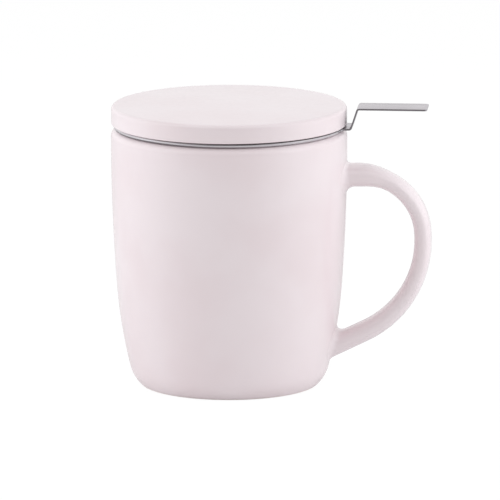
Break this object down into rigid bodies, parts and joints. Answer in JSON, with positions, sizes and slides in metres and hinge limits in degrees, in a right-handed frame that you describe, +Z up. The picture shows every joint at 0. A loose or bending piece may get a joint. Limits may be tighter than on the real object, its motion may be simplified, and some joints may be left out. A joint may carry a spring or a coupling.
{
  "type": "lidded tea mug with infuser",
  "caption": "Bulged ceramic mug with an ear handle, a flat ceramic lid, and a perforated steel infuser that hangs from the lip and lifts out by a bent tab.",
  "frame": {"origin": "middle of the foot ring, on the surface that the mug stands on", "axes": "+Z up along the axis of the mug, +X along the handle and the infuser's tab"},
  "size_m": [0.1169, 0.086, 0.103],
  "materials": {
    "glaze": "satin",
    "steel": "brushed"
  },
  "bodies": {
    "mug": {"mug_body": "glaze", "mug_handle": "glaze"},
    "infuser": {"infuser_rim": "steel", "infuser_wall": "steel", "infuser_base": "steel", "infuser_tab": "steel"},
    "lid": {"lid": "glaze"}
  },
  "joints": [
    {"name": "infuser_lift", "type": "slide", "parent": "mug", "child": "infuser", "axis": [0, 0, 1], "range_m": [0, 0.085]},
    {"name": "lid_lift", "type": "slide", "parent": "infuser", "child": "lid", "axis": [0, 0, 1], "range_m": [0, 0.04]}
  ]
}
